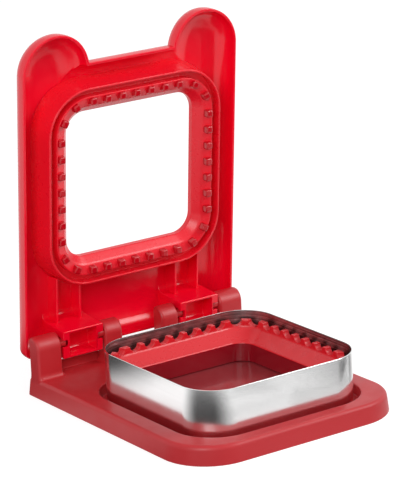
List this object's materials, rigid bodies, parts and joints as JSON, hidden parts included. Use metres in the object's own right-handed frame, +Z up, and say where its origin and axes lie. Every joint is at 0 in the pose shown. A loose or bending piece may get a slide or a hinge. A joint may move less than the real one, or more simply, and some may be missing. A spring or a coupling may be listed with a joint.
{
  "type": "sandwich cutter and sealer",
  "caption": "Hinged sandwich cutter and sealer: a square steel ring stands in a moulded tray, and a lid with two ears and a toothed frame folds down over it.",
  "frame": {"origin": "centre of the footprint of the whole open tool, on the surface that it stands on", "axes": "+X along the hinge, to the right seen from the front; +Y from the front edge towards the hinge; +Z up"},
  "size_m": [0.1312, 0.163, 0.188],
  "materials": {
    "satin_red_plastic": "fine satin moulded surface",
    "gloss_red_plastic": "polished moulded surface",
    "stainless_steel": "mirror-like rolled stainless steel"
  },
  "bodies": {
    "base": {"base_tray": "satin_red_plastic", "base_crimp_frame": "gloss_red_plastic", "cutter_ring": "stainless_steel", "hinge_pin_outer_left": "satin_red_plastic", "hinge_pin_inner_left": "satin_red_plastic", "hinge_pin_inner_right": "satin_red_plastic", "hinge_pin_outer_right": "satin_red_plastic"},
    "lid": {"lid_panel": "gloss_red_plastic", "lid_crimp_frame": "gloss_red_plastic"}
  },
  "joints": [
    {"name": "lid_hinge", "type": "hinge", "parent": "base", "child": "lid", "pos_m": [0, 0.0621, 0.0261], "axis": [1, 0, 0], "range_deg": [-14, 85]}
  ]
}
